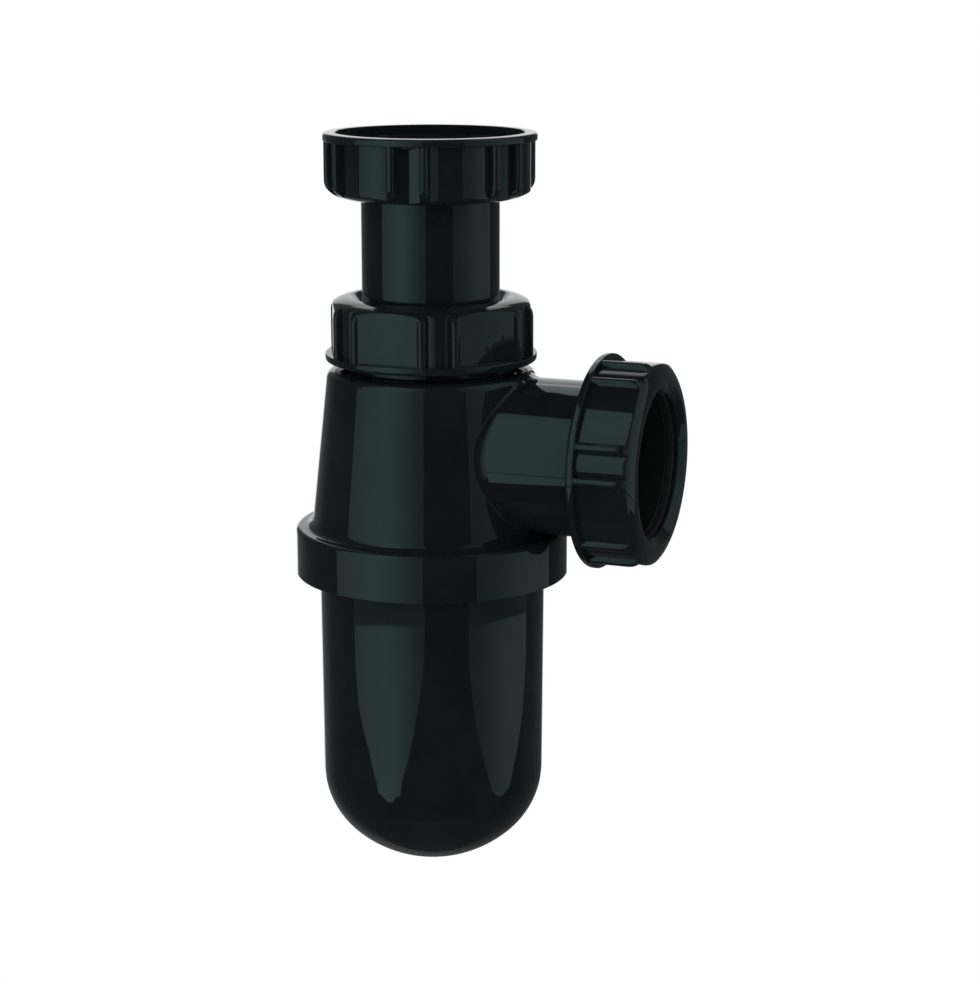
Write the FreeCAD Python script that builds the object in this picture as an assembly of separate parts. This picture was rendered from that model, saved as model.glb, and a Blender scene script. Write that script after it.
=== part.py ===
import FreeCAD, Part
import math
import os

# Telescopic bottle trap for a washbasin, in millimetres.
# The origin is the centre of the inlet washer's top face, where the basin waste seats.
# +Z points up the inlet and +X points out along the outlet.

# Radii are built outwards from the waste pipe: the telescopic inlet tube has its radius,
# and the outlet takes the same pipe.
pipe_r = 16.0
tube_wall = 2.0
tube_length = 81.0
tube_end_chamfer = 0.8
flange_play = 0.276
flange_thick = 2.2
washer_thick = 2.7
washer_inset = 1.0

# Clearances.
seat_gap = 0.1
rubber_gap = 0.12
slide_gap = 0.3
thread_play = 0.045

# Threaded neck and socket: the solids carry the thread's root cylinders.
# With this wall the thread's outer radius is 20.955, the 1 1/4 inch pipe thread.
neck_wall = 3.176
thread_depth = 1.479

# Union nut, one moulding used three times: hexagon with trimmed corners,
# a pair of half-round ribs at each corner, a rim at the mouth and a round shoulder.
nut_height = 14.9
nut_floor = 2.4
nut_wall = 1.8
nut_corner_proud = 0.6
nut_rim_proud = 1.25
nut_rim_height = 1.9
nut_rim_round = 0.8
nut_shoulder_round = 4.4
nut_mouth_chamfer = 0.6
nut_hole_play = 0.8
nut_hole_chamfer = 1.5
nut_corners = 6
rib_r = 1.0
rib_below_rim = 0.15
rib_from_corner_deg = 9.2
inlet_nut_turn_deg = 40.0
body_nut_turn_deg = -3.4
outlet_nut_turn_deg = -39.5

# Slip rings and tapered seals, alike at the body nut and at the outlet nut.
slip_ring_thick = 1.5
neck_lip = 0.9
seal_cone_depth = 4.0
seal_wedge = 3.0

# Body: cone over a threaded collar, with a neck, a dip tube and an outlet socket in one moulding.
tube_showing = 22.7
nut_standoff = 1.83
body_wall = 2.4
shoulder_width = 4.724
shoulder_round = 2.4
cone_flare = 4.0
cone_foot_round = 2.2
collar_ledge = 3.8
collar_height = 11.3
collar_wall = 3.0
collar_roof = 3.3
collar_round = 1.1
ledge_round_share = 0.3
foot_round_share = 0.6
dip_wall = 2.0
dip_length = 45.0
socket_wall = 1.7
socket_below_top = 1.1
socket_above_collar = 0.3
socket_blend = 1.1
socket_depth = 18.0
socket_stop = 1.8
outlet_clear = 9.7

# Cup: thin wall with a slight draft, a dished bottom and a threaded top.
# The bottom's crown reaches lower than the ring of its knuckle by cup_crown_drop.
cup_length = 70.55
cup_wall = 2.3
cup_draft = 0.31
cup_step = 0.83
cup_knuckle_r = 20.5
cup_crown_drop = 2.25
cup_thread_depth = 1.4
cup_thread_play = 0.2
gasket_thick = 2.0

# Radii that follow.
tube_bore_r = pipe_r - tube_wall
sleeve_r = pipe_r + slide_gap
seal_bore_r = pipe_r + rubber_gap
thread_root_r = sleeve_r + neck_wall
thread_major_r = thread_root_r + thread_depth
flange_r = thread_root_r - flange_play
flare_r = thread_root_r - neck_lip
nut_bore_r = thread_major_r + thread_play
nut_pilot_r = flange_r + slide_gap
nut_hole_r = pipe_r + nut_hole_play
nut_flat_r = nut_bore_r + nut_wall
nut_corner_r = nut_flat_r + nut_corner_proud
nut_rim_r = nut_corner_r + nut_rim_proud
dip_r = sleeve_r + dip_wall
socket_r = sleeve_r + socket_wall
waterway_r = sleeve_r - socket_stop
cone_top_r = thread_root_r + shoulder_width
cone_foot_r = cone_top_r + cone_flare
collar_r = cone_foot_r + collar_ledge
collar_bore_r = collar_r - collar_wall
cup_root_r = collar_bore_r - cup_thread_play - cup_thread_depth
cup_top_r = cup_root_r - cup_step
cup_low_r = cup_top_r - cup_draft
cup_bore_r = cup_top_r - cup_wall
cup_rim_bore_r = cup_root_r - cup_wall

# Heights and reaches that follow.
nut_inside = nut_height - nut_floor
nut_thread = nut_inside - seat_gap - flange_thick - washer_thick
neck_above_mouth = nut_thread - slide_gap
ring_above_mouth = nut_inside - seat_gap - slip_ring_thick
seal_above_mouth = neck_above_mouth + seat_gap
inlet_mouth_z = nut_thread
inlet_end_z = inlet_mouth_z - nut_height
body_nut_end_z = inlet_end_z - tube_showing
body_nut_mouth_z = body_nut_end_z - nut_height
neck_top_z = body_nut_mouth_z + neck_above_mouth
body_top_z = body_nut_mouth_z - nut_standoff
outlet_z = body_top_z - socket_below_top - socket_r
collar_top_z = outlet_z - socket_r - socket_above_collar
collar_bottom_z = collar_top_z - collar_height
outlet_mouth = collar_r + outlet_clear
socket_end = outlet_mouth + neck_above_mouth
dip_end_z = collar_bottom_z - dip_length
gasket_seat_z = collar_top_z - collar_roof
cup_rim_z = gasket_seat_z - gasket_thick - 2 * seat_gap
cup_bottom_z = collar_bottom_z - cup_length
knuckle_z = cup_bottom_z + cup_crown_drop + cup_knuckle_r

X_AXIS = FreeCAD.Vector(1, 0, 0)
Z_AXIS = FreeCAD.Vector(0, 0, 1)
ORIGIN = FreeCAD.Vector(0, 0, 0)
# How near an edge's size or place is to the one looked for.
EDGE_MATCH = 0.001


def at(r, z):
    return FreeCAD.Vector(r, 0, z)


def turned(edges):
    """Solid made by turning a closed outline, in the XZ plane, once round Z."""
    wire = Part.Wire(Part.__sortEdges__(edges))
    return Part.Face(wire).revolve(ORIGIN, Z_AXIS, 360)


def lines(*points):
    """Straight edges through points given as (radius, height)."""
    pairs = zip(points, points[1:])
    return [Part.LineSegment(at(*a), at(*b)).toShape() for a, b in pairs]


def turned_polygon(*points):
    return turned(lines(*points, points[0]))


def rounded(solid, round_r, edge_r, edge_z):
    """Round the circular edge that has the given radius and height."""
    picked = []
    for edge in solid.Edges:
        if not isinstance(edge.Curve, Part.Circle):
            continue
        centre = edge.Curve.Center
        if abs(edge.Curve.Radius - edge_r) < EDGE_MATCH and abs(centre.z - edge_z) < EDGE_MATCH:
            picked.append(edge)
    return solid.makeFillet(round_r, picked)


def along_x(solid, x, z):
    """Lay a solid built along Z on the outlet axis, its foot at x."""
    laid = solid.copy()
    laid.rotate(ORIGIN, FreeCAD.Vector(0, 1, 0), 90)
    laid.translate(FreeCAD.Vector(x, 0, z))
    return laid


def union_nut(turn_deg):
    """Nut with its mouth at height 0 and its closed end up; a corner points along turn_deg."""
    step = 360.0 / nut_corners
    half_step = math.radians(step / 2)
    across_corners_r = nut_flat_r / math.cos(half_step)
    corners = []
    for i in range(nut_corners + 1):
        a = math.radians(i * step)
        corners.append(FreeCAD.Vector(math.cos(a), math.sin(a), 0) * across_corners_r)
    hexagon = Part.Face(Part.makePolygon(corners)).extrude(Z_AXIS * nut_height)
    body = hexagon.common(Part.makeCylinder(nut_corner_r, nut_height))

    ribs = []
    rib_circle_r = nut_rim_r - rib_below_rim - rib_r
    for i in range(nut_corners):
        for side in (-1, 1):
            a = math.radians(i * step + side * rib_from_corner_deg)
            foot = FreeCAD.Vector(math.cos(a), math.sin(a), 0) * rib_circle_r
            ribs.append(Part.makeCylinder(rib_r, nut_height, foot))
    body = body.fuse(ribs)

    envelope = Part.makeCylinder(nut_rim_r, nut_height)
    envelope = rounded(envelope, nut_shoulder_round, nut_rim_r, nut_height)
    body = body.common(envelope)
    rim = Part.makeCylinder(nut_rim_r, nut_rim_height)
    rim = rounded(rim, nut_rim_round, nut_rim_r, 0)
    mouth = Part.makeCylinder(across_corners_r, nut_rim_height / 2)
    body = body.cut(mouth).fuse(rim)

    pilot = Part.makeCylinder(nut_pilot_r, nut_inside)
    thread = Part.makeCylinder(nut_bore_r, nut_thread)
    lead_r = nut_bore_r + nut_mouth_chamfer
    lead_in = Part.makeCone(lead_r, nut_bore_r, nut_mouth_chamfer)
    hole = Part.makeCylinder(nut_hole_r, nut_height)
    funnel_foot = at(0, nut_height - nut_hole_chamfer)
    funnel = Part.makeCone(nut_hole_r, nut_hole_r + nut_hole_chamfer, nut_hole_chamfer, funnel_foot)
    nut = body.cut(pilot.fuse([thread, lead_in, hole, funnel])).removeSplitter()
    nut.rotate(ORIGIN, Z_AXIS, turn_deg)
    return nut


def slip_ring():
    """Hard flat ring against the nut's floor, standing on height 0."""
    ring = Part.makeCylinder(flange_r, slip_ring_thick)
    return ring.cut(Part.makeCylinder(sleeve_r, slip_ring_thick))


def tapered_seal():
    """Rubber ring with a flat head and a wedge below height 0, which enters the neck's flare."""
    head = nut_inside - neck_above_mouth - slip_ring_thick - 3 * seat_gap
    slope = (flare_r - sleeve_r) / seal_cone_depth
    wedge_r = flare_r - rubber_gap
    wedge_foot_r = wedge_r - slope * seal_wedge
    return turned_polygon(
        (seal_bore_r, -seal_wedge), (wedge_foot_r, -seal_wedge), (wedge_r, 0),
        (flange_r, 0), (flange_r, head), (seal_bore_r, head))


def inlet_tube():
    flange_top_z = -washer_thick
    flange_foot_z = flange_top_z - flange_thick
    end_z = flange_top_z - tube_length
    return turned_polygon(
        (tube_bore_r, end_z), (pipe_r - tube_end_chamfer, end_z),
        (pipe_r, end_z + tube_end_chamfer), (pipe_r, flange_foot_z),
        (flange_r, flange_foot_z), (flange_r, flange_top_z), (tube_bore_r, flange_top_z))


def inlet_washer():
    bore_r = tube_bore_r + washer_inset
    return turned_polygon((bore_r, -washer_thick), (flange_r, -washer_thick), (flange_r, 0), (bore_r, 0))


def body_outside():
    """Collar, cone, shoulder and neck as one solid, with the outlet socket blended in."""
    body = turned_polygon(
        (0, collar_bottom_z), (collar_r, collar_bottom_z), (collar_r, collar_top_z),
        (cone_foot_r, collar_top_z), (cone_top_r, body_top_z), (thread_root_r, body_top_z),
        (thread_root_r, neck_top_z), (0, neck_top_z))
    body = rounded(body, min(collar_round, ledge_round_share * collar_ledge), collar_r, collar_top_z)
    body = rounded(body, min(cone_foot_round, foot_round_share * collar_ledge), cone_foot_r, collar_top_z)
    body = rounded(body, shoulder_round, cone_top_r, body_top_z)
    socket = along_x(Part.makeCylinder(socket_r, socket_end), 0, outlet_z)
    body = body.fuse(socket)
    joint = []
    for edge in body.Edges:
        if isinstance(edge.Curve, (Part.Line, Part.Circle)):
            continue
        middle = edge.valueAt((edge.FirstParameter + edge.LastParameter) / 2)
        from_axis = math.hypot(middle.y, middle.z - outlet_z)
        if abs(from_axis - socket_r) < EDGE_MATCH:
            joint.append(edge)
    body = body.makeFillet(socket_blend, joint)
    thread_foot = outlet_mouth - nut_standoff
    sleeve = Part.makeCylinder(thread_root_r, socket_end - thread_foot)
    return body.fuse(along_x(sleeve, thread_foot, outlet_z))


def flare():
    """Conical seat for a tapered seal, its wide end at height 0."""
    cone = Part.makeCone(sleeve_r, flare_r, seal_cone_depth)
    cone.translate(FreeCAD.Vector(0, 0, -seal_cone_depth))
    return cone


def trap_body():
    shell = body_outside()
    slope = cone_flare / (body_top_z - collar_top_z)
    roof_z = body_top_z - body_wall
    chamber_top_r = cone_top_r + slope * body_wall - body_wall
    chamber_foot_r = cone_foot_r + slope * collar_roof - body_wall
    chamber = turned_polygon(
        (0, collar_bottom_z), (collar_bore_r, collar_bottom_z), (collar_bore_r, gasket_seat_z),
        (chamber_foot_r, gasket_seat_z), (chamber_top_r, roof_z), (0, roof_z))
    waterway = along_x(Part.makeCylinder(waterway_r, socket_end), 0, outlet_z)
    stop = socket_end - socket_depth
    pipe_socket = along_x(Part.makeCylinder(sleeve_r, socket_depth), stop, outlet_z)
    shell = shell.cut([chamber, waterway, pipe_socket, along_x(flare(), socket_end, outlet_z)])
    dip = Part.makeCylinder(dip_r, body_top_z - dip_end_z, at(0, dip_end_z))
    bore = Part.makeCylinder(sleeve_r, neck_top_z - dip_end_z, at(0, dip_end_z))
    neck_flare = flare()
    neck_flare.translate(at(0, neck_top_z))
    return shell.fuse(dip).cut([bore, neck_flare]).removeSplitter()


def arc(centre, radius, start, end):
    """Arc edge in the XZ plane between two angles, in radians from the X direction."""
    def point(a):
        return centre + at(math.cos(a), math.sin(a)) * radius
    return Part.Arc(point(start), point((start + end) / 2), point(end)).toShape()


def dished_bottom(inset):
    """Knuckle and crown arcs of the cup's bottom, moved inwards by inset; they share their tangent."""
    knuckle_x = cup_low_r - cup_knuckle_r
    depth = cup_knuckle_r + cup_crown_drop
    crown_r = (depth ** 2 + knuckle_x ** 2 - cup_knuckle_r ** 2) / (2 * cup_crown_drop)
    crown_z = cup_bottom_z + crown_r
    tangent = math.atan2(knuckle_z - crown_z, knuckle_x)
    return [
        arc(at(knuckle_x, knuckle_z), cup_knuckle_r - inset, 0, tangent),
        arc(at(0, crown_z), crown_r - inset, tangent, -math.pi / 2)]


def cup():
    low_bore_r = cup_low_r - cup_wall
    step_z = collar_bottom_z + cup_step
    side = lines(
        (cup_low_r, knuckle_z), (cup_top_r, collar_bottom_z), (cup_root_r, step_z), (cup_root_r, cup_rim_z),
        (cup_rim_bore_r, cup_rim_z), (cup_rim_bore_r, collar_bottom_z),
        (cup_bore_r, collar_bottom_z - cup_step), (low_bore_r, knuckle_z))
    axis = lines((0, cup_bottom_z), (0, cup_bottom_z + cup_wall))
    return turned(side + axis + dished_bottom(0) + dished_bottom(cup_wall))


def cup_gasket():
    foot_z = cup_rim_z + seat_gap
    top_z = foot_z + gasket_thick
    return turned_polygon(
        (cup_rim_bore_r, foot_z), (cup_root_r, foot_z), (cup_root_r, top_z), (cup_rim_bore_r, top_z))


def placed(solid, z):
    moved = solid.copy()
    moved.translate(at(0, z))
    return moved


def turned_over(solid, z):
    """Turn a nut mouth up, its mouth at height z."""
    flipped = solid.copy()
    flipped.rotate(ORIGIN, X_AXIS, 180)
    flipped.translate(at(0, z))
    return flipped


pieces = {
    "inlet_nut": turned_over(union_nut(-inlet_nut_turn_deg), inlet_mouth_z),
    "inlet_washer": inlet_washer(),
    "inlet_tube": inlet_tube(),
    "body_nut": placed(union_nut(body_nut_turn_deg), body_nut_mouth_z),
    "body_slip_ring": placed(slip_ring(), body_nut_mouth_z + ring_above_mouth),
    "body_seal": placed(tapered_seal(), body_nut_mouth_z + seal_above_mouth),
    "trap_body": trap_body(),
    "cup_gasket": cup_gasket(),
    "cup": cup(),
    "outlet_seal": along_x(tapered_seal(), outlet_mouth + seal_above_mouth, outlet_z),
    "outlet_slip_ring": along_x(slip_ring(), outlet_mouth + ring_above_mouth, outlet_z),
    "outlet_nut": along_x(union_nut(outlet_nut_turn_deg), outlet_mouth, outlet_z),
}

os.makedirs("parts", exist_ok=True)
for name, shape in pieces.items():
    shape.exportStep(os.path.join("parts", name + ".step"))
    print(name, shape.ShapeType, len(shape.Solids), shape.isValid(), round(shape.Volume, 1))
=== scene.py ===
import bpy
import bmesh
import math
from mathutils import Matrix, Vector


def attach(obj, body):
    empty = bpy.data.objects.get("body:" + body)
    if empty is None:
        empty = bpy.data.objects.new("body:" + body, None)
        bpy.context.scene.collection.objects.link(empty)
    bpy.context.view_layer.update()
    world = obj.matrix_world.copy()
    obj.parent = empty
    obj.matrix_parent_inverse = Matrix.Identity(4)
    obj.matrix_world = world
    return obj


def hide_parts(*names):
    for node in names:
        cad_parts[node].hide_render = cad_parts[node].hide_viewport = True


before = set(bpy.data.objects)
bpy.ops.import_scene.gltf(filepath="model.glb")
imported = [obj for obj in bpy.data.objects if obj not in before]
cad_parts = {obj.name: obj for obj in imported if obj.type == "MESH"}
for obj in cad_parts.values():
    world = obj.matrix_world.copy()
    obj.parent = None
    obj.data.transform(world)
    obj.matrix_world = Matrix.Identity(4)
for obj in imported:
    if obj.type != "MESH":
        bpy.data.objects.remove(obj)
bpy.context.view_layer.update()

# Trap body: the one big moulding that everything else screws into, with its collar, cone, neck and dip tube.
# Glossy black polypropylene, injection moulded, so every outer edge is rounded a little.
# It is a turned shell; sizes are in mm, radii end in _R and heights count from the top of the inlet washer.
MM = 0.001
BODY_TOP, NECK_TOP = -46.83, -37.8
COLLAR_TOP, COLLAR_FOOT = -84.23, -95.53
COLLAR_R, COLLAR_BORE_R = 32.0, 29.0
CONE_TOP_R, CONE_FOOT_R = 24.2, 28.2
THREAD_ROOT_R, SLEEVE_R = 19.476, 16.3
FLARE_R, FLARE_DEPTH = 18.576, 4.0
DIP_END, DIP_R = -140.53, 18.3
CHAMBER_TOP, CHAMBER_TOP_R = -49.23, 22.05
CHAMBER_FOOT, CHAMBER_FOOT_R = -87.53, 26.15


def turn(bm, sectors=8, steps=40):
    """Spin the outline through one sector round Z, then copy the sector round, which is far quicker."""
    sector = math.tau / sectors
    bmesh.ops.spin(
        bm, geom=bm.verts[:] + bm.edges[:], axis=(0, 0, 1), cent=(0, 0, 0), angle=sector, steps=steps)
    copy_round(bm, sectors)


def copy_round(bm, count):
    """Repeat what is there count times round Z and close it up, with every face outwards."""
    step = math.tau / count
    bmesh.ops.spin(
        bm, geom=bm.verts[:] + bm.edges[:] + bm.faces[:], axis=(0, 0, 1), cent=(0, 0, 0),
        angle=math.tau - step, steps=count - 1, use_duplicate=True)
    bmesh.ops.remove_doubles(bm, verts=bm.verts[:], dist=1e-6)
    bmesh.ops.recalc_face_normals(bm, faces=bm.faces[:])


def outlined(corners):
    """Closed outline in the XZ plane. Its corners are (radius, height, corner round) in mm."""
    bm = bmesh.new()
    points = [bm.verts.new((r * MM, 0, z * MM)) for r, z, _ in corners]
    for a, b in zip(points, points[1:] + points[:1]):
        bm.edges.new((a, b))
    for point, (_, _, size) in zip(points, corners):
        if size:
            bmesh.ops.bevel(
                bm, geom=[point], offset=size * MM, affect="VERTICES", segments=7, profile=0.5, material=-1)
    return bm


def turned(corners):
    """Ring-shaped piece turned from a closed outline."""
    bm = outlined(corners)
    turn(bm)
    return bm


def piece(bm, name, body, slot, material, *nodes):
    """Make the mesh an object with smooth faces and crisp creases, riding on its body."""
    mesh = bpy.data.meshes.new(name)
    bm.to_mesh(mesh)
    bm.free()
    mesh.materials.append(material)
    mesh.shade_smooth()
    mesh.set_sharp_from_angle(angle=math.radians(40))
    obj = bpy.data.objects.new(name, mesh)
    bpy.context.scene.collection.objects.link(obj)
    even = obj.modifiers.new("even_shading", "WEIGHTED_NORMAL")
    even.keep_sharp = True
    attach(obj, body)
    if nodes:
        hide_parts(*nodes)
    return obj


def linear(code):
    """Linear colour of an sRGB hex value."""
    parts = [int(code[i:i + 2], 16) / 255 for i in (1, 3, 5)]
    return [c / 12.92 if c <= 0.04045 else ((c + 0.055) / 1.055) ** 2.4 for c in parts] + [1.0]


def add(tree, kind, settings=None, **links):
    """Add a node, set its properties and sockets, and link named inputs to output sockets."""
    node = tree.nodes.new(kind)
    for key, value in (settings or {}).items():
        if hasattr(node, key):
            setattr(node, key, value)
        else:
            node.inputs[key].default_value = value
    for key, output in links.items():
        tree.links.new(output, node.inputs[key.replace("_", " ")])
    return node


# Injection-moulded polypropylene, black: a smooth tool gives a clear gloss, and the skin keeps a trace of
# flow waves some 9 mm long and of the tool's fine polish marks, which are drawn at 0.6 mm to show at all.
FLOW_WAVE, POLISH_MARK = 9 * MM, 0.6 * MM
polypropylene = bpy.data.materials.new("moulded_polypropylene")
polypropylene.use_nodes = True
tree = polypropylene.node_tree
shader = tree.nodes["Principled BSDF"]
shader.inputs["IOR"].default_value = 1.49
shader.inputs["Specular Tint"].default_value = linear("#b4e6e6")
place = add(tree, "ShaderNodeTexCoord").outputs["Object"]
flow = add(tree, "ShaderNodeTexNoise", {"Scale": 1 / FLOW_WAVE, "Detail": 3.0}, Vector=place)
polish = add(tree, "ShaderNodeTexNoise", {"Scale": 1 / POLISH_MARK, "Detail": 2.0}, Vector=place)
tone = add(tree, "ShaderNodeValToRGB", Fac=flow.outputs["Fac"])
tone.color_ramp.elements[0].position = 0.3
tone.color_ramp.elements[0].color = linear("#12171a")
tone.color_ramp.elements[1].position = 0.7
tone.color_ramp.elements[1].color = linear("#171c1e")
gloss = add(
    tree, "ShaderNodeMapRange", {"From Min": 0.3, "From Max": 0.7, "To Min": 0.014, "To Max": 0.024},
    Value=flow.outputs["Fac"])
waves = add(tree, "ShaderNodeBump", {"Strength": 0.03, "Distance": 0.02 * MM}, Height=flow.outputs["Fac"])
marks = add(
    tree, "ShaderNodeBump", {"Strength": 0.05, "Distance": 0.002 * MM},
    Height=polish.outputs["Fac"], Normal=waves.outputs["Normal"])
tree.links.new(tone.outputs["Color"], shader.inputs["Base Color"])
tree.links.new(gloss.outputs["Result"], shader.inputs["Roughness"])
tree.links.new(marks.outputs["Normal"], shader.inputs["Normal"])

shell = turned([
    (COLLAR_R, COLLAR_FOOT, 0.2), (COLLAR_R, COLLAR_TOP, 1.1), (CONE_FOOT_R, COLLAR_TOP, 2.0),
    (CONE_TOP_R, BODY_TOP, 2.2), (THREAD_ROOT_R, BODY_TOP, 0.4), (THREAD_ROOT_R, NECK_TOP, 0.3),
    (FLARE_R, NECK_TOP, 0.2), (SLEEVE_R, NECK_TOP - FLARE_DEPTH, 0.3), (SLEEVE_R, DIP_END, 0.5),
    (DIP_R, DIP_END, 0.5), (DIP_R, CHAMBER_TOP, 1.0), (CHAMBER_TOP_R, CHAMBER_TOP, 1.0),
    (CHAMBER_FOOT_R, CHAMBER_FOOT, 0.3), (COLLAR_BORE_R, CHAMBER_FOOT, 0.3),
    (COLLAR_BORE_R, COLLAR_FOOT, 0.5),
])
trap_body = piece(shell, "trap_body_shell", "trap_body", "moulded_black", polypropylene, "trap_body")

# Threads of the body: the union nut's thread on the neck and the cup's thread inside the collar.
# They are moulded with the body; each ridge is a blunt wedge swept up a right-hand helix.
PITCH, CUP_PITCH = 2.309, 3.0
RIDGE, CUP_RIDGE = 1.5, 1.9
RIDGE_SINK = 0.05
THREAD_CREST_R, THREAD_TURNS, NECK_THREAD_START = 20.8, 2.6, -44.65
COLLAR_CREST_R, COLLAR_TURNS, COLLAR_THREAD_START = 27.6, 1.2, -92.4
STEPS_PER_TURN, GROWING_STEPS = 96, 12


def thread(root_r, crest_r, start, turns, pitch, ridge):
    """Ridge of a right-hand thread, growing out of the wall over its first and last eighth of a turn."""
    bm = bmesh.new()
    section = [(root_r, -ridge / 2), (crest_r, -ridge / 8), (crest_r, ridge / 8), (root_r, ridge / 2)]
    points = [bm.verts.new((r * MM, 0, (start + h) * MM)) for r, h in section]
    edges = [bm.edges.new(pair) for pair in zip(points, points[1:] + points[:1])]
    steps = round(STEPS_PER_TURN * turns)
    bmesh.ops.spin(
        bm, geom=points + edges, axis=(0, 0, 1), cent=(0, 0, 0), angle=math.tau * turns, steps=steps,
        dvec=(0, 0, pitch * turns / steps * MM))
    for i, v in enumerate(bm.verts):
        step = i // len(section)
        grown = min(step, steps - step, GROWING_STEPS) / GROWING_STEPS
        r = v.co.xy.length / MM
        v.co.xy *= (root_r + (r - root_r) * grown) / r
    bmesh.ops.recalc_face_normals(bm, faces=bm.faces[:])
    return bm


neck_thread = thread(
    THREAD_ROOT_R - RIDGE_SINK, THREAD_CREST_R, NECK_THREAD_START, THREAD_TURNS, PITCH, RIDGE)
piece(neck_thread, "trap_body_neck_thread", "trap_body", "moulded_black", polypropylene)
collar_thread = thread(
    COLLAR_BORE_R + RIDGE_SINK, COLLAR_CREST_R, COLLAR_THREAD_START, COLLAR_TURNS, CUP_PITCH, CUP_RIDGE)
piece(collar_thread, "trap_body_collar_thread", "trap_body", "moulded_black", polypropylene)

# Inlet tube: the telescopic waste pipe that slides in the dip tube, with a flange that the inlet nut catches.
# Extruded and flanged polypropylene, the same black, with a small chamfer to lead it into the seal.
PIPE_R, PIPE_BORE_R = 16.0, 14.0
FLANGE_R, FLANGE_TOP, FLANGE_FOOT = 19.2, -2.7, -4.9
TUBE_END, TUBE_CHAMFER = -83.7, 0.8
tube = turned([
    (PIPE_BORE_R, TUBE_END, 0.4), (PIPE_R - TUBE_CHAMFER, TUBE_END, 0.2),
    (PIPE_R, TUBE_END + TUBE_CHAMFER, 0.3), (PIPE_R, FLANGE_FOOT, 0.4), (FLANGE_R, FLANGE_FOOT, 0.3),
    (FLANGE_R, FLANGE_TOP, 0.4), (PIPE_BORE_R, FLANGE_TOP, 0.6),
])
piece(tube, "inlet_tube_pipe", "inlet_tube", "moulded_black", polypropylene, "inlet_tube")

# Cup: the round-bottomed bottle below, which screws up into the collar and keeps the water seal.
# Moulded polypropylene with a slight draft; its bottom is a knuckle and a flatter crown.
CUP_LOW_R, CUP_TOP_R, CUP_ROOT_R = 26.26, 26.57, 27.4
CUP_WALL, CUP_RIM_ROUND = 2.3, 0.4
CUP_BORE_R, CUP_STEP = CUP_ROOT_R - CUP_WALL, CUP_ROOT_R - CUP_TOP_R
CUP_RIM, CUP_BOTTOM = -89.73, -166.08
KNUCKLE_Z, KNUCKLE_R = -143.33, 20.5
CROWN_STEPS, KNUCKLE_STEPS = 24, 32
CUP_CREST_R, CUP_TURNS, CUP_THREAD_START = 28.8, 0.87, -93.9


def dished(bm, inset):
    """Half outline of the dished bottom, from the pole up crown and knuckle; gives its last vertex."""
    knuckle_x = CUP_LOW_R - KNUCKLE_R
    depth = KNUCKLE_Z - CUP_BOTTOM
    crown_r = (depth ** 2 + knuckle_x ** 2 - KNUCKLE_R ** 2) / (2 * (depth - KNUCKLE_R))
    crown_z = CUP_BOTTOM + crown_r
    lean = math.atan2(knuckle_x, crown_z - KNUCKLE_Z)
    pole = bm.verts.new((0, 0, (CUP_BOTTOM + inset) * MM))
    crown = bmesh.ops.spin(
        bm, geom=[pole], axis=(0, 1, 0), cent=(0, 0, crown_z * MM), angle=-lean, steps=CROWN_STEPS)
    last = [v for v in crown["geom_last"] if isinstance(v, bmesh.types.BMVert)]
    knuckle = bmesh.ops.spin(
        bm, geom=last, axis=(0, 1, 0), cent=(knuckle_x * MM, 0, KNUCKLE_Z * MM),
        angle=lean - math.pi / 2, steps=KNUCKLE_STEPS)
    return [v for v in knuckle["geom_last"] if isinstance(v, bmesh.types.BMVert)][0]


cup = bmesh.new()
outer, inner = dished(cup, 0), dished(cup, CUP_WALL)
wall = [
    (CUP_TOP_R, COLLAR_FOOT), (CUP_ROOT_R, COLLAR_FOOT + CUP_STEP), (CUP_ROOT_R, CUP_RIM),
    (CUP_BORE_R, CUP_RIM), (CUP_BORE_R, COLLAR_FOOT), (CUP_TOP_R - CUP_WALL, COLLAR_FOOT - CUP_STEP)]
run = [outer] + [cup.verts.new((r * MM, 0, z * MM)) for r, z in wall] + [inner]
for a, b in zip(run, run[1:]):
    cup.edges.new((a, b))
rim_corners = run[3:5]
bmesh.ops.bevel(
    cup, geom=rim_corners, offset=CUP_RIM_ROUND * MM, affect="VERTICES", segments=5, profile=0.5, material=-1)
turn(cup)
piece(cup, "cup_bottle", "cup", "moulded_black", polypropylene, "cup")
cup_thread = thread(CUP_ROOT_R - RIDGE_SINK, CUP_CREST_R, CUP_THREAD_START, CUP_TURNS, CUP_PITCH, CUP_RIDGE)
piece(cup_thread, "cup_thread", "cup", "moulded_black", polypropylene)

# Rubber seals: a flat washer on the tube's flange, a tapered ring in each flare, a gasket on the cup's rim.
# Moulded EPDM rubber, black and dull, each squeezed in place by a nut or by the cup.
OUTLET_Z = -65.93
SEAL_BORE_R, SEAL_NOSE_R, SEAL_WEDGE_R, SEAL_R = 16.12, 16.75, 18.456, 19.2
SEAL_NOSE, SEAL_HEAD = 3.0, 3.5
BODY_SEAL_Z, OUTLET_SEAL_X = -37.7, 49.0
WASHER_BORE_R, WASHER_TOP = 15.0, 0.0
GASKET_FOOT, GASKET_TOP = -89.63, -87.63

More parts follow.
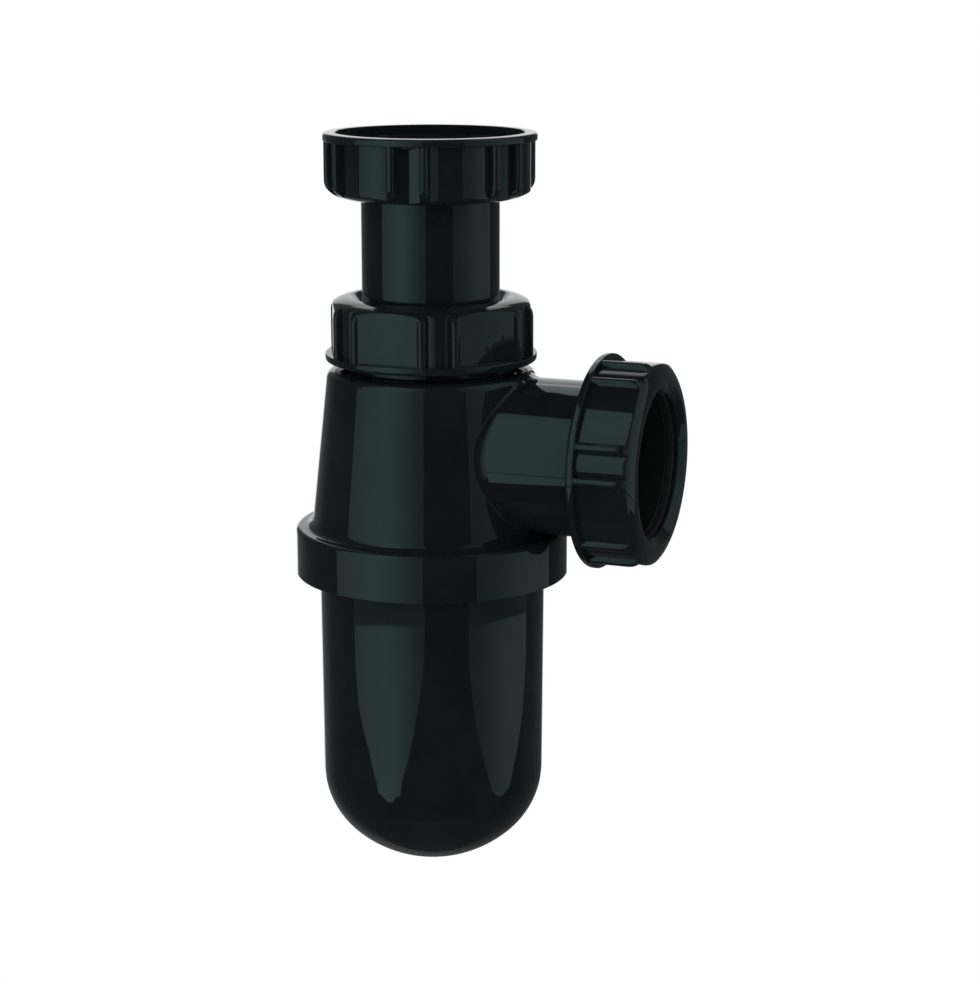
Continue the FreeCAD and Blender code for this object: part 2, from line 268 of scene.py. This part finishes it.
# EPDM rubber: a dull moulded skin with a grain about 0.8 mm across.
RUBBER_GRAIN = 0.8 * MM
rubber = bpy.data.materials.new("epdm_rubber")
rubber.use_nodes = True
tree = rubber.node_tree
shader = tree.nodes["Principled BSDF"]
place = add(tree, "ShaderNodeTexCoord").outputs["Object"]
grain = add(tree, "ShaderNodeTexNoise", {"Scale": 1 / RUBBER_GRAIN, "Detail": 3.0}, Vector=place)
tone = add(tree, "ShaderNodeValToRGB", Fac=grain.outputs["Fac"])
tone.color_ramp.elements[0].position = 0.3
tone.color_ramp.elements[0].color = linear("#0d1011")
tone.color_ramp.elements[1].position = 0.7
tone.color_ramp.elements[1].color = linear("#15191a")
skin = add(tree, "ShaderNodeBump", {"Strength": 0.2, "Distance": 0.01 * MM}, Height=grain.outputs["Fac"])
tree.links.new(tone.outputs["Color"], shader.inputs["Base Color"])
shader.inputs["Roughness"].default_value = 0.6
tree.links.new(skin.outputs["Normal"], shader.inputs["Normal"])


def lay(bm, x):
    """Lay a piece built along Z on the outlet axis, its foot at x."""
    place = Matrix.Translation((x * MM, 0, OUTLET_Z * MM)) @ Matrix.Rotation(math.pi / 2, 4, "Y")
    bmesh.ops.transform(bm, matrix=place, verts=bm.verts)
    return bm


def tapered_seal(z):
    """Seal with a flat head on height z and a wedge below it that enters the flare."""
    return turned([
        (SEAL_BORE_R, z - SEAL_NOSE, 0.15), (SEAL_NOSE_R, z - SEAL_NOSE, 0.15), (SEAL_WEDGE_R, z, 0.1),
        (SEAL_R, z, 0.25), (SEAL_R, z + SEAL_HEAD, 0.35), (SEAL_BORE_R, z + SEAL_HEAD, 0.35)])


washer = turned([
    (WASHER_BORE_R, FLANGE_TOP, 0.25), (FLANGE_R, FLANGE_TOP, 0.25), (FLANGE_R, WASHER_TOP, 0.35),
    (WASHER_BORE_R, WASHER_TOP, 0.35)])
piece(washer, "inlet_washer_rubber", "inlet_tube", "seal_rubber", rubber, "inlet_washer")
piece(tapered_seal(BODY_SEAL_Z), "body_seal_rubber", "trap_body", "seal_rubber", rubber, "body_seal")
outlet_seal = lay(tapered_seal(0), OUTLET_SEAL_X)
piece(outlet_seal, "outlet_seal_rubber", "trap_body", "seal_rubber", rubber, "outlet_seal")
gasket = turned([
    (CUP_BORE_R, GASKET_FOOT, 0.25), (CUP_ROOT_R, GASKET_FOOT, 0.25), (CUP_ROOT_R, GASKET_TOP, 0.25),
    (CUP_BORE_R, GASKET_TOP, 0.25)])
piece(gasket, "cup_gasket_rubber", "cup_gasket", "seal_rubber", rubber, "cup_gasket")

# Slip rings: thin hard rings that let the nuts turn without dragging the seals round with them.
# Punched and trimmed polyethylene, loose under the floor of the body nut and of the outlet nut.
RING_BORE_R, RING_R, RING_THICKNESS = 16.3, 19.2, 1.5
BODY_RING_Z, OUTLET_RING_X = -34.1, 52.6

# Black polyethylene: waxy and satin, with faint cloudy patches about 3 mm across.
CLOUDY_PATCH = 3 * MM
polyethylene = bpy.data.materials.new("black_polyethylene")
polyethylene.use_nodes = True
tree = polyethylene.node_tree
shader = tree.nodes["Principled BSDF"]
place = add(tree, "ShaderNodeTexCoord").outputs["Object"]
cloud = add(tree, "ShaderNodeTexNoise", {"Scale": 1 / CLOUDY_PATCH, "Detail": 2.0}, Vector=place)
tone = add(tree, "ShaderNodeValToRGB", Fac=cloud.outputs["Fac"])
tone.color_ramp.elements[0].position = 0.3
tone.color_ramp.elements[0].color = linear("#1c1e1e")
tone.color_ramp.elements[1].position = 0.7
tone.color_ramp.elements[1].color = linear("#242626")
tree.links.new(tone.outputs["Color"], shader.inputs["Base Color"])
shader.inputs["Roughness"].default_value = 0.42
shader.inputs["IOR"].default_value = 1.51


def slip_ring(z):
    """Flat ring with its lower face on height z."""
    return turned([
        (RING_BORE_R, z, 0.15), (RING_R, z, 0.15), (RING_R, z + RING_THICKNESS, 0.15),
        (RING_BORE_R, z + RING_THICKNESS, 0.15)])


body_ring = slip_ring(BODY_RING_Z)
piece(body_ring, "body_slip_ring_flat", "body_slip_ring", "slip_plastic", polyethylene, "body_slip_ring")
outlet_ring = lay(slip_ring(0), OUTLET_RING_X)
piece(
    outlet_ring, "outlet_slip_ring_flat", "outlet_slip_ring", "slip_plastic", polyethylene,
    "outlet_slip_ring")

# Union nuts: one ribbed hexagon nut used three times, on the inlet, on the neck and on the outlet.
# Moulded polypropylene: a hexagon with rounded corners, a half-round rib on each side of a corner, a rolled
# rim at the mouth and a round shoulder at the closed end. The inlet nut's flats are crowned the most.
NUT_HEIGHT, NUT_FLOOR = 14.9, 12.5
NUT_HOLE_R, NUT_PILOT_R, NUT_BORE_R = 16.8, 19.5, 21.0
PILOT_FOOT = 7.5
HOLE_CHAMFER, HOLE_EDGE, HOLE_EDGE_DROP = 1.5, 0.3, 0.15
LEAD_IN, LEAD_IN_DEPTH, LEAD_IN_SLOPE, MOUTH_EDGE = 0.7, 2.2, 0.6, 0.2
FLAT_R, PAD_R, PAD_ROUND = 22.8, 23.4, 5.5
RIB_R, RIB_CIRCLE_R, RIB_FROM_FLAT = 1.0, 23.5, math.radians(20.8)
RIM_R, RIM_HEIGHT, RIM_ROUND, RIM_FILLET = 24.65, 1.9, 0.8, 0.4
SHOULDER_REACH, SHOULDER_DROP = 5.9, 4.6
RIB_BLEND, SHOULDER_BLEND, RIM_BLEND = 0.2, 0.35, 0.5
NUT_SIDES, NUT_STEPS, RIM_STEPS, SHOULDER_STEPS = 6, 150, 10, 34
FILLET_ROW, FILLET_ROWS, SIDE_ROWS = 0.1, 18, (4.2, 6.0, 8.0, 9.6)
NUT_CREST_R, NUT_TURNS, NUT_THREAD_START = 19.65, 1.5, 1.5 + PITCH
BODY_NUT_MOUTH, BODY_NUT_TURN, BODY_CROWN_R = -45.0, math.radians(-3.4), 90
INLET_NUT_MOUTH, INLET_NUT_TURN, INLET_CROWN_R = 7.5, math.radians(-40.0), 14
OUTLET_NUT_MOUTH, OUTLET_NUT_TURN, OUTLET_CROWN_R = 41.7, math.radians(-39.5), 34
INLET_BULGE, OUTLET_BULGE, INLET_THREAD_START = 0.4, 0.15, 0.9


def soft_min(a, b, k):
    """The smaller of two radii, with a fillet about k wide where they cross."""
    t = min(max(0.5 + 0.5 * (b - a) / k, 0), 1)
    return b + (a - b) * t - k * t * (1 - t)


def soft_max(a, b, k):
    """The larger of two radii, with a fillet about k wide where they cross."""
    return -soft_min(-a, -b, k)


def nut_side(angle, flat_r, crown_r):
    """Radius of the nut's side at an angle from a corner: crowned flat, rib or round pad at the corner."""
    half_side = math.pi / NUT_SIDES
    from_flat = abs(angle % (2 * half_side) - half_side)
    back = crown_r - flat_r
    side = math.sqrt(crown_r ** 2 - (back * math.sin(from_flat)) ** 2) - back * math.cos(from_flat)
    if from_flat > RIB_FROM_FLAT:
        centre_r, from_corner = PAD_R - PAD_ROUND, half_side - from_flat
        across = centre_r * math.sin(from_corner)
        pad = math.sqrt(PAD_ROUND ** 2 - across ** 2) + centre_r * math.cos(from_corner)
        side = soft_min(side, pad, RIB_BLEND)
    off_rib = from_flat - RIB_FROM_FLAT
    reach = RIB_R ** 2 - (RIB_CIRCLE_R * math.sin(off_rib)) ** 2
    if reach > 0:
        side = soft_max(side, RIB_CIRCLE_R * math.cos(off_rib) + math.sqrt(reach), RIB_BLEND)
    return side


def union_nut(flat_r, crown_r):
    """Nut with its mouth at height 0 and its closed end up; a corner points along X.

    One sixth is spun round as wide as the rim, and its skin is then pressed in to the flats, ribs and pads.
    """
    fillet_foot = RIM_HEIGHT - RIM_FILLET
    quarter = [math.radians(90) * i / RIM_STEPS for i in range(RIM_STEPS + 1)]
    skin = [(RIM_R - RIM_ROUND + RIM_ROUND * math.sin(a), RIM_ROUND * (1 - math.cos(a))) for a in quarter]
    skin += [(RIM_R, fillet_foot + FILLET_ROW * i) for i in range(FILLET_ROWS)]
    skin += [(RIM_R, h) for h in SIDE_ROWS]
    centre_r, centre_h = RIM_R - SHOULDER_REACH, NUT_HEIGHT - SHOULDER_DROP
    bend = [math.radians(90) * i / SHOULDER_STEPS for i in range(SHOULDER_STEPS + 1)]
    skin += [(centre_r + SHOULDER_REACH * math.cos(a), centre_h + SHOULDER_DROP * math.sin(a)) for a in bend]
    inside = [
        (NUT_HOLE_R + HOLE_CHAMFER + HOLE_EDGE, NUT_HEIGHT),
        (NUT_HOLE_R + HOLE_CHAMFER, NUT_HEIGHT - HOLE_EDGE_DROP),
        (NUT_HOLE_R, NUT_HEIGHT - HOLE_CHAMFER), (NUT_HOLE_R, NUT_FLOOR),
        (NUT_PILOT_R, NUT_FLOOR), (NUT_PILOT_R, PILOT_FOOT), (NUT_BORE_R, PILOT_FOOT),
        (NUT_BORE_R, LEAD_IN_DEPTH + LEAD_IN_SLOPE), (NUT_BORE_R + LEAD_IN, LEAD_IN_DEPTH),
        (NUT_BORE_R + LEAD_IN, MOUTH_EDGE), (NUT_BORE_R + LEAD_IN + MOUTH_EDGE, 0)]
    bm = outlined([(r, h, 0) for r, h in skin + inside])
    bmesh.ops.spin(
        bm, geom=bm.verts[:] + bm.edges[:], axis=(0, 0, 1), cent=(0, 0, 0),
        angle=math.tau / NUT_SIDES, steps=NUT_STEPS)
    for v in bm.verts:
        r, h = math.hypot(v.co.x, v.co.y) / MM, v.co.z / MM
        in_bore = r < NUT_BORE_R + 1 and h < centre_h or r < NUT_PILOT_R + 0.01
        if in_bore or h < fillet_foot:
            continue
        over = max(h - fillet_foot, 0)
        rim = RIM_R - RIM_FILLET + math.sqrt(RIM_FILLET ** 2 - over ** 2) if over < RIM_FILLET else 0
        side = soft_min(r, nut_side(math.atan2(v.co.y, v.co.x), flat_r, crown_r), SHOULDER_BLEND)
        v.co.xy *= min(soft_max(side, rim, RIM_BLEND), RIM_R) / r
    copy_round(bm, NUT_SIDES)
    return bm


def nut_thread(start):
    """Thread inside a nut, half a pitch off the one it runs on."""
    return thread(NUT_BORE_R + RIDGE_SINK, NUT_CREST_R, start, NUT_TURNS, PITCH, RIDGE)


body_nut = union_nut(FLAT_R, BODY_CROWN_R)
neck_place = Matrix.Translation((0, 0, BODY_NUT_MOUTH * MM)) @ Matrix.Rotation(BODY_NUT_TURN, 4, "Z")
bmesh.ops.transform(body_nut, matrix=neck_place, verts=body_nut.verts)
piece(body_nut, "body_nut_ribbed", "body_nut", "moulded_black", polypropylene, "body_nut")
body_nut_thread = nut_thread(BODY_NUT_MOUTH + NUT_THREAD_START)
piece(body_nut_thread, "body_nut_thread", "body_nut", "moulded_black", polypropylene)

inlet_nut = union_nut(FLAT_R + INLET_BULGE, INLET_CROWN_R)
mouth_up = Matrix.Translation((0, 0, INLET_NUT_MOUTH * MM)) @ Matrix.Rotation(math.pi, 4, "X")
bmesh.ops.transform(
    inlet_nut, matrix=mouth_up @ Matrix.Rotation(INLET_NUT_TURN, 4, "Z"), verts=inlet_nut.verts)
piece(inlet_nut, "inlet_nut_ribbed", "inlet_nut", "moulded_black", polypropylene, "inlet_nut")
piece(nut_thread(INLET_THREAD_START), "inlet_nut_thread", "inlet_nut", "moulded_black", polypropylene)

outlet_nut = union_nut(FLAT_R + OUTLET_BULGE, OUTLET_CROWN_R)
bmesh.ops.rotate(
    outlet_nut, cent=(0, 0, 0), matrix=Matrix.Rotation(OUTLET_NUT_TURN, 3, "Z"), verts=outlet_nut.verts)
lay(outlet_nut, OUTLET_NUT_MOUTH)
piece(outlet_nut, "outlet_nut_ribbed", "outlet_nut", "moulded_black", polypropylene, "outlet_nut")
outlet_nut_thread = lay(nut_thread(NUT_THREAD_START), OUTLET_NUT_MOUTH)
piece(outlet_nut_thread, "outlet_nut_thread", "outlet_nut", "moulded_black", polypropylene)

# Outlet socket: the side branch of the body, flaring softly into the cone, with a threaded end under the nut.
# It is part of the body's moulding; the waste pipe goes into it as far as the stop.
SOCKET_R, SOCKET_END, SOCKET_STEP, PIPE_STOP = 18.0, 48.9, 39.87, 30.9
WATERWAY_R, WATERWAY_INSET = 14.5, 1.2
BLEND, BLEND_SINK = 1.1, 0.02
BLEND_TOP, BLEND_FOOT = BODY_TOP - 0.35, COLLAR_TOP + 0.2
CONE_SLOPE = (CONE_FOOT_R - CONE_TOP_R) / (BODY_TOP - COLLAR_TOP)
CONE_COS = 1 / math.hypot(1, CONE_SLOPE)
SHOULDER_ROUND, FOOT_ROUND = 2.4, 2.2
BLEND_ROWS, NUDGE = 12, 0.01
BLEND_MARK, WATERWAY_MARK = 1, 2
SOCKET_THREAD_START = 0.35


def cone_radius(z):
    """Outer radius of the body at a height: foot round, cone and shoulder round."""
    top_z, foot_z = BODY_TOP - SHOULDER_ROUND, COLLAR_TOP + FOOT_ROUND
    if z > top_z + SHOULDER_ROUND * CONE_SLOPE * CONE_COS:
        centre_r = CONE_TOP_R + CONE_SLOPE * SHOULDER_ROUND - SHOULDER_ROUND / CONE_COS
        return centre_r + math.sqrt(max(SHOULDER_ROUND ** 2 - (z - top_z) ** 2, 0))
    if z < foot_z - FOOT_ROUND * CONE_SLOPE * CONE_COS:
        centre_r = CONE_TOP_R + CONE_SLOPE * (BODY_TOP - foot_z) + FOOT_ROUND / CONE_COS
        return centre_r - math.sqrt(max(FOOT_ROUND ** 2 - (z - foot_z) ** 2, 0))
    return CONE_TOP_R + CONE_SLOPE * (BODY_TOP - z)


def on_cone(rho, side, up):
    """How far out along the outlet the body's skin is, at a radius and direction round the outlet axis."""
    return math.sqrt(cone_radius(OUTLET_Z + rho * up) ** 2 - (rho * side) ** 2)


def blend_point(t, side, up):
    """Place along and across the outlet axis on the blend, from the socket at t = 0 to the cone at t = 1."""
    limit = BLEND_TOP if up > 0 else BLEND_FOOT
    room = (limit - OUTLET_Z) / up if up else math.inf
    edge = min(SOCKET_R + BLEND, room)
    x_edge = on_cone(edge, side, up)
    lean = (on_cone(edge + NUDGE, side, up) - on_cone(edge - NUDGE, side, up)) / (2 * NUDGE)
    corner = x_edge - lean * (edge - SOCKET_R)
    start = corner + math.hypot(x_edge - corner, edge - SOCKET_R)
    x = (1 - t) ** 2 * start + 2 * t * (1 - t) * corner + t ** 2 * (x_edge - BLEND_SINK)
    rho = SOCKET_R + t ** 2 * (edge - SOCKET_R)
    return x, rho


# The ends that meet the cone are turned at small marks, 0 to 1 for the blend and 2 for the waterway's edge,
# and every vertex at a mark is then moved to its place on the cone.
socket = turned(
    [(SOCKET_R, BLEND_MARK * t / BLEND_ROWS, 0) for t in range(BLEND_ROWS, -1, -1)]
    + [(SOCKET_R, SOCKET_STEP, 0.3), (THREAD_ROOT_R, SOCKET_STEP, 0.3), (THREAD_ROOT_R, SOCKET_END, 0.3),
       (FLARE_R, SOCKET_END, 0.2), (SLEEVE_R, SOCKET_END - FLARE_DEPTH, 0.3), (SLEEVE_R, PIPE_STOP, 0.3),
       (WATERWAY_R, PIPE_STOP, 0.4), (WATERWAY_R, WATERWAY_MARK, 0)])
lay(socket, 0)
for v in socket.verts:
    x, y, z = v.co.x / MM, v.co.y / MM, v.co.z / MM - OUTLET_Z
    rho = math.hypot(y, z)
    side, up = y / rho, z / rho
    if x < BLEND_MARK + 0.5:
        x, rho = blend_point(x, side, up)
    elif x < WATERWAY_MARK + 0.5:
        x = on_cone(rho, side, up) - WATERWAY_INSET
    v.co = Vector((x, rho * side, OUTLET_Z + rho * up)) * MM
bmesh.ops.recalc_face_normals(socket, faces=socket.faces[:])
piece(socket, "trap_body_socket", "trap_body", "moulded_black", polypropylene)
socket_thread = thread(
    THREAD_ROOT_R - RIDGE_SINK, THREAD_CREST_R, SOCKET_THREAD_START, THREAD_TURNS, PITCH, RIDGE)
lay(socket_thread, OUTLET_NUT_MOUTH)
piece(socket_thread, "trap_body_socket_thread", "trap_body", "moulded_black", polypropylene)

# Waterway: the hole through the cone's wall behind the socket, where the water leaves the body.
# A core in the mould leaves it open; it is cut out of the turned shell, a hair wider than the socket's bore.
PLUG_R, PLUG_X, PLUG_LENGTH = WATERWAY_R + 0.05, 26, 14
plug = bmesh.new()
bmesh.ops.create_cone(
    plug, cap_ends=True, segments=128, radius1=PLUG_R * MM, radius2=PLUG_R * MM, depth=PLUG_LENGTH * MM)
lay(plug, PLUG_X)
plug_mesh = bpy.data.meshes.new("waterway_plug")
plug.to_mesh(plug_mesh)
plug.free()
cutter = bpy.data.objects.new("waterway_plug", plug_mesh)
bpy.context.scene.collection.objects.link(cutter)
cut = trap_body.modifiers.new("waterway", "BOOLEAN")
cut.operation, cut.solver, cut.object = "DIFFERENCE", "EXACT", cutter
trap_body.modifiers.move(1, 0)
open_shell = bpy.data.meshes.new_from_object(
    trap_body.evaluated_get(bpy.context.evaluated_depsgraph_get()))
trap_body.modifiers.clear()
trap_body.data = open_shell
bpy.data.objects.remove(cutter)

# Studio: the trap hangs in a wide dark drum with a white card behind it and soft light panels at its sides,
# all of it seen in the gloss alone; cameras look past it to a white room and a pale floor far below.
# Sizes here are in metres, and directions in degrees left of the camera.
CAMERA_TURN = math.radians(22.6)
FLOOR_Z, FLOOR_REACH = -3.2, 8.0
DRUM_R, DRUM_TOP, DRUM_FOOT, DRUM_SEGMENTS = 2.0, 4.1, -3.0, 96


def staged(bm, name, material):
    """Make the mesh an object of the studio, which is no piece of the trap."""
    mesh = bpy.data.meshes.new(name)
    bm.to_mesh(mesh)
    bm.free()
    mesh.materials.append(material)
    obj = bpy.data.objects.new(name, mesh)
    bpy.context.scene.collection.objects.link(obj)
    return obj


def seen(tree):
    """1 for rays that show the surroundings themselves: straight to the camera, in gloss or through glass."""
    ray = add(tree, "ShaderNodeLightPath").outputs
    direct = add(tree, "ShaderNodeMath", {"operation": "MAXIMUM"})
    tree.links.new(ray["Is Camera Ray"], direct.inputs[0])
    tree.links.new(ray["Is Glossy Ray"], direct.inputs[1])
    shown = add(tree, "ShaderNodeMath", {"operation": "MAXIMUM"})
    tree.links.new(direct.outputs["Value"], shown.inputs[0])
    tree.links.new(ray["Is Transmission Ray"], shown.inputs[1])
    return shown.outputs["Value"]


# White floor paint: matt where it is lit, and an even white where it is looked at.
painted = bpy.data.materials.new("painted_floor")
painted.use_nodes = True
tree = painted.node_tree
paint = tree.nodes["Principled BSDF"]
paint.inputs["Base Color"].default_value = linear("#f2f2f2")
paint.inputs["Roughness"].default_value = 0.8
white = add(tree, "ShaderNodeEmission", {"Color": (1, 1, 1, 1), "Strength": 1.0})
look = add(tree, "ShaderNodeMixShader", Fac=seen(tree))
tree.links.new(paint.outputs["BSDF"], look.inputs[1])
tree.links.new(white.outputs["Emission"], look.inputs[2])
tree.links.new(look.outputs["Shader"], tree.nodes["Material Output"].inputs["Surface"])
floor = bmesh.new()
bmesh.ops.create_grid(floor, x_segments=1, y_segments=1, size=FLOOR_REACH)
bmesh.ops.translate(floor, vec=(0, 0, FLOOR_Z), verts=floor.verts)
staged(floor, "floor", painted)


def lit_by_angle(name, table):
    """Glowing cloth whose radiance follows the angle round the trap.

    The table's rows are (degrees left of the camera, radiance), from 180 down to -180.
    """
    material = bpy.data.materials.new(name)
    material.use_nodes = True
    tree = material.node_tree
    place = add(tree, "ShaderNodeTexCoord").outputs["Object"]
    facing = add(tree, "ShaderNodeMapping", {"Rotation": (0, 0, math.pi / 2 - CAMERA_TURN)}, Vector=place)
    angle = add(tree, "ShaderNodeTexGradient", {"gradient_type": "RADIAL"}, Vector=facing.outputs["Vector"])
    light = add(tree, "ShaderNodeValToRGB", Fac=angle.outputs["Fac"])
    stops = light.color_ramp.elements
    for _ in table[2:]:
        stops.new(1.0)
    for stop, (left, radiance) in zip(stops, table):
        stop.position = 0.5 - left / 360
        stop.color = (radiance, radiance, radiance, 1)
    glow = add(tree, "ShaderNodeEmission", {"Strength": 1.0}, Color=light.outputs["Color"])
    tree.links.new(glow.outputs["Emission"], tree.nodes["Material Output"].inputs["Surface"])
    return material


def only_in_gloss(obj):
    """Leave an object to be seen in reflections alone."""
    obj.visible_camera = False
    obj.visible_transmission = False
    obj.visible_diffuse = False
    obj.visible_shadow = False


# Dark cloth round the drum whose faint glow at the back is painted light; black felt, which shows no gloss,
# over its top; and a faint even glow on its foot, painted light that stands for a grey cloth.
drum_cloth = lit_by_angle("drum_cloth", [
    (180, 0.12), (156, 0.16), (145, 0.12), (125, 0.05), (90, 0.04), (60, 0.0), (-90, 0.0), (-117, 0.04),
    (-158, 0.08), (-180, 0.12)])
drum_foot_glow = lit_by_angle("drum_foot_painted_glow", [(180, 0.035), (-180, 0.035)])
felt = bpy.data.materials.new("black_felt")
felt.use_nodes = True
shader = felt.node_tree.nodes["Principled BSDF"]
shader.inputs["Base Color"].default_value = linear("#050505")
shader.inputs["Roughness"].default_value = 1.0
shader.inputs["Specular IOR Level"].default_value = 0.0
drum = bmesh.new()
bmesh.ops.create_cone(
    drum, cap_ends=True, cap_tris=False, segments=DRUM_SEGMENTS, radius1=DRUM_R, radius2=DRUM_R,
    depth=DRUM_TOP - DRUM_FOOT)
bmesh.ops.translate(drum, vec=(0, 0, (DRUM_TOP + DRUM_FOOT) / 2), verts=drum.verts)
for f in drum.faces:
    f.material_index = 1 if f.normal.z > 0.5 else 2 if f.normal.z < -0.5 else 0
drum = staged(drum, "light_drum", drum_cloth)
drum.data.materials.append(felt)
drum.data.materials.append(drum_foot_glow)
only_in_gloss(drum)

# A white card behind the trap and light panels at its sides, brightest at their middle: a tall pair from just
# below the trap upwards, and a pair that tapers downwards, with a dimly glowing strip between them, painted
# light standing in for a grey stand.
# Each row is (height at its outer end, height at its inner end, degrees left of the camera from, to).
panels = lit_by_angle("soft_light_panels", [
    (180, 1.0), (166, 1.0), (160, 0.4), (88, 0.44), (72, 0.68), (62, 0.8), (52, 0.93), (43, 0.88),
    (34, 0.72), (25, 0.54), (17, 0.34), (7, 0.25), (-36, 0.2), (-52, 0.24), (-62, 0.33), (-72, 0.43),
    (-82, 0.48), (-94, 0.43), (-105, 0.34), (-118, 0.3), (-160, 0.4), (-166, 1.0), (-180, 1.0)])
# The strips' dim glow is painted light, standing in for a grey stand's cloth.
dim_strip_glow = lit_by_angle("grey_stand_cloth", [(180, 0.19), (8, 0.19), (-37, 0.12), (-180, 0.12)])
PANEL_R, PANEL_COLUMNS, PANEL_FOOT, PANEL_TOP = 0.99 * DRUM_R, 24, -0.645, 3.9
PANELS = {
    "back_card": [(1.5, 1.5, 196, 162), (-0.9, -0.9, 196, 162)],
    "left_panel": [(PANEL_TOP, PANEL_TOP, 87, 8), (PANEL_FOOT, PANEL_FOOT, 87, 8)],
    "left_strip": [(PANEL_FOOT, PANEL_FOOT, 87, 8), (-0.687, -0.694, 87, 8)],
    "left_wedge": [
        (-0.687, -0.694, 87, 8), (-0.735, -0.735, 86.7, 9), (-0.78, -0.78, 83, 14.5), (-0.83, -0.83, 71, 23),
        (-0.87, -0.87, 61.5, 33), (-0.9, -0.9, 58.5, 36.5), (-0.94, -0.94, 56, 39.5),
        (-1.25, -1.25, 51, 45.5)],
    "right_panel": [(PANEL_TOP, PANEL_TOP, -116, -37), (PANEL_FOOT, PANEL_FOOT, -116, -37)],
    "right_strip": [(PANEL_FOOT, PANEL_FOOT, -112, -37), (-0.671, -0.694, -112, -36.5)],
    "right_wedge": [
        (-0.671, -0.694, -112, -36.5), (-0.735, -0.735, -111, -37), (-0.78, -0.78, -107, -41),
        (-0.825, -0.825, -99, -49), (-0.85, -0.85, -93, -55), (-0.875, -0.875, -86, -63),
        (-1.16, -1.16, -78, -75)]}
for name, rows in PANELS.items():
    bm = bmesh.new()
    grid = []
    for outer, inner, start, end in rows:
        shares = [i / PANEL_COLUMNS for i in range(PANEL_COLUMNS + 1)]
        turns = [CAMERA_TURN - math.pi / 2 - math.radians(start + (end - start) * s) for s in shares]
        grid.append([
            bm.verts.new((PANEL_R * math.cos(t), PANEL_R * math.sin(t), outer + (inner - outer) * s))
            for t, s in zip(turns, shares)])
    for upper, lower in zip(grid, grid[1:]):
        for i in range(PANEL_COLUMNS):
            bm.faces.new((upper[i], upper[i + 1], lower[i + 1], lower[i]))
    only_in_gloss(staged(bm, name, dim_strip_glow if name.endswith("strip") else panels))

# A soft lamp above and behind the trap, turned to face it.
lamp = bpy.data.lights.new("top_light", "AREA")
lamp.shape = "RECTANGLE"
lamp.size, lamp.size_y = 1.2, 0.8
lamp.energy = 3.0
top_light = bpy.data.objects.new("top_light", lamp)
top_light.location = (-0.45, 1.1, 1.2)
top_light.rotation_euler = Vector(top_light.location).to_track_quat("Z", "Y").to_euler()
top_light.visible_camera = False
bpy.context.scene.collection.objects.link(top_light)

# The white room: full white where it is looked at, a little less as a light.
world = bpy.data.worlds.new("white_room")
bpy.context.scene.world = world
world.use_nodes = True
tree = world.node_tree
level = add(tree, "ShaderNodeMapRange", {"To Min": 0.8, "To Max": 1.0}, Value=seen(tree))
tree.nodes["Background"].inputs["Color"].default_value = (1, 1, 1, 1)
tree.links.new(level.outputs["Result"], tree.nodes["Background"].inputs["Strength"])

# The camera stands to the right of the trap's front and looks a little down on it.
CAMERA_PLACE, CAMERA_TILT, LENS = (210.2, -504.9, 47.87), (77.19, 0, 21.17), 87.27
camera = bpy.data.objects.new("camera", bpy.data.cameras.new("camera"))
camera.data.lens = LENS
camera.location = Vector(CAMERA_PLACE) * MM
camera.rotation_euler = [math.radians(a) for a in CAMERA_TILT]
bpy.context.scene.collection.objects.link(camera)
bpy.context.scene.camera = camera

bpy.context.scene.view_settings.view_transform = "Standard"
